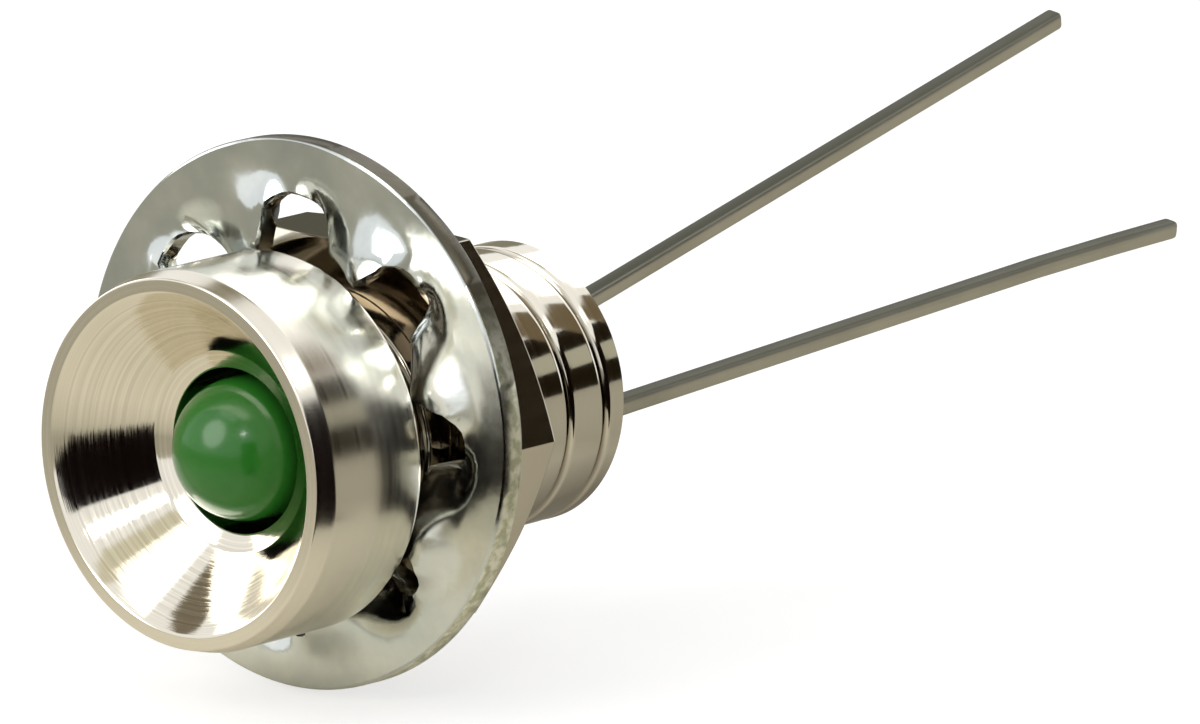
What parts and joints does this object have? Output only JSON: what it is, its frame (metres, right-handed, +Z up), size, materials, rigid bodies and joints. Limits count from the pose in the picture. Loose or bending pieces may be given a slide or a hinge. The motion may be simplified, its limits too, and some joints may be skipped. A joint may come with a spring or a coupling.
{
  "type": "led indicator light",
  "caption": "Panel indicator light: a green round LED in a turned metal bezel with a cone reflector, a toothed lock washer, a hex nut and bare wire leads",
  "frame": {"origin": "on the lamp's axis at the panel seat, which is the rear face of the bezel's head", "axes": "+Y runs back along the axis through the panel to the leads, so the lamp faces -Y; +Z is up, towards the upper lead; +X is to the right of someone who looks at the lamp's face"},
  "size_m": [0.0114, 0.0315, 0.0113],
  "materials": {
    "nickel": "nickel plate on turned brass",
    "lens": "diffused tinted epoxy",
    "tinned_wire": "dull tinned steel",
    "chip": "die",
    "bush": "moulded nylon",
    "zinc": "bright zinc plate",
    "nut_nickel": "nickel plate on brass"
  },
  "bodies": {
    "root": {"bezel": "nickel", "led_lens": "lens", "cathode_lead": "tinned_wire", "anode_lead": "tinned_wire", "led_chip": "chip", "led_bush": "bush", "lock_washer": "zinc", "hex_nut": "nut_nickel"}
  },
  "joints": []
}
